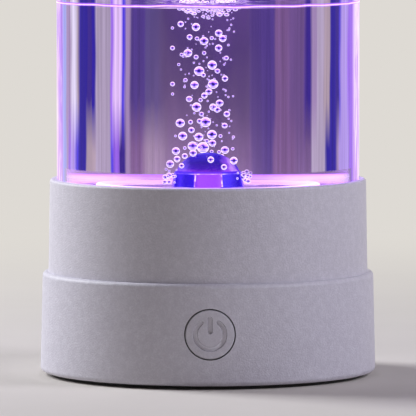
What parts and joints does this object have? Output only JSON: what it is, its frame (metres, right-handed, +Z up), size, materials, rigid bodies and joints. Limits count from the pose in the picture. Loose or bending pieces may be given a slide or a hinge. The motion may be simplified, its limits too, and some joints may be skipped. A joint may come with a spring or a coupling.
{
  "type": "bubble tube lamp",
  "caption": "Compact table bubble lamp: a clear water tube with a bubble nozzle, in a two-tier white base with a power button, air pump and ring of lights, under a lift-off cap.",
  "frame": {"origin": "on the table, under the centre of the round base", "axes": "+Z up along the tube's axis, -Y towards the power button, +Y towards the power inlet at the back"},
  "size_m": [0.111, 0.111, 0.1612],
  "materials": {
    "black_rubber": "matte",
    "black_abs": "matte",
    "steel": "satin",
    "white_abs": "matte",
    "silicone": "satin",
    "clear_acrylic": "polished",
    "clear_acrylic_floor": "polished",
    "water": "polished",
    "blue_nozzle": "satin",
    "opal_acrylic": "satin",
    "white_tray": "satin",
    "led_board": "satin",
    "led_package": "gloss",
    "white_button": "matte",
    "switch_plunger": "matte",
    "circuit_board": "satin",
    "connector_nylon": "satin",
    "black_inlet": "satin",
    "steel_can": "satin",
    "armature_iron": "satin",
    "pump_plastic": "matte",
    "foam_pad": "matte",
    "valve_plastic": "gloss",
    "silicone_hose": "satin",
    "lead_white": "satin",
    "lead_red": "satin",
    "lead_black": "satin"
  },
  "bodies": {
    "base": {"foot_ring": "black_rubber", "bottom_plate": "black_abs", "bottom_screws": "steel", "lower_housing": "white_abs", "collar_screws": "steel", "upper_collar": "white_abs", "tank_seal": "silicone", "tank_tube": "clear_acrylic", "tank_floor": "clear_acrylic_floor", "water": "water", "nozzle_body": "blue_nozzle", "nozzle_cap": "blue_nozzle", "nozzle_gasket": "black_rubber", "nozzle_nut": "blue_nozzle", "light_diffuser": "opal_acrylic", "reflector_tray": "white_tray", "tray_screws": "steel", "led_board": "led_board", "leds": "led_package", "push_switch": "black_abs", "control_board": "circuit_board", "board_connectors": "connector_nylon", "board_screws": "steel", "dc_inlet": "black_inlet", "inlet_nut": "steel", "pump_motor": "steel_can", "motor_end_cap": "black_abs", "pump_crankcase": "pump_plastic", "pump_valve_cover": "black_abs", "pump_pad": "foam_pad", "pump_strap": "steel", "strap_screws": "steel", "check_valve": "valve_plastic", "upper_hose": "silicone_hose", "lower_hose": "silicone_hose", "led_lead": "lead_white", "pump_lead": "lead_red", "inlet_lead": "lead_black"},
    "button": {"power_button": "white_button"},
    "plunger": {"switch_plunger": "switch_plunger"},
    "lid": {"top_cap": "white_abs", "cap_plug": "white_abs", "cap_seal": "silicone"},
    "rotor": {"pump_crank": "steel", "motor_armature": "armature_iron"}
  },
  "joints": [
    {"name": "button_press", "type": "slide", "parent": "base", "child": "button", "axis": [0, 1, 0], "range_m": [0, 0.0008], "stiffness_N_per_m": 300, "springref_m": -0.0005},
    {"name": "switch_press", "type": "slide", "parent": "base", "child": "plunger", "axis": [0, 1, 0], "range_m": [0, 0.0008]},
    {"name": "lid_lift", "type": "slide", "parent": "base", "child": "lid", "axis": [0, 0, 1], "range_m": [0, 0.03]},
    {"name": "pump_spin", "type": "hinge", "parent": "base", "child": "rotor", "pos_m": [0, 0.014, 0.0177], "axis": [1, 0, 0], "continuous": true}
  ],
  "couplings": [
    {"joint": "switch_press", "follows": "button_press", "ratio": 1}
  ]
}
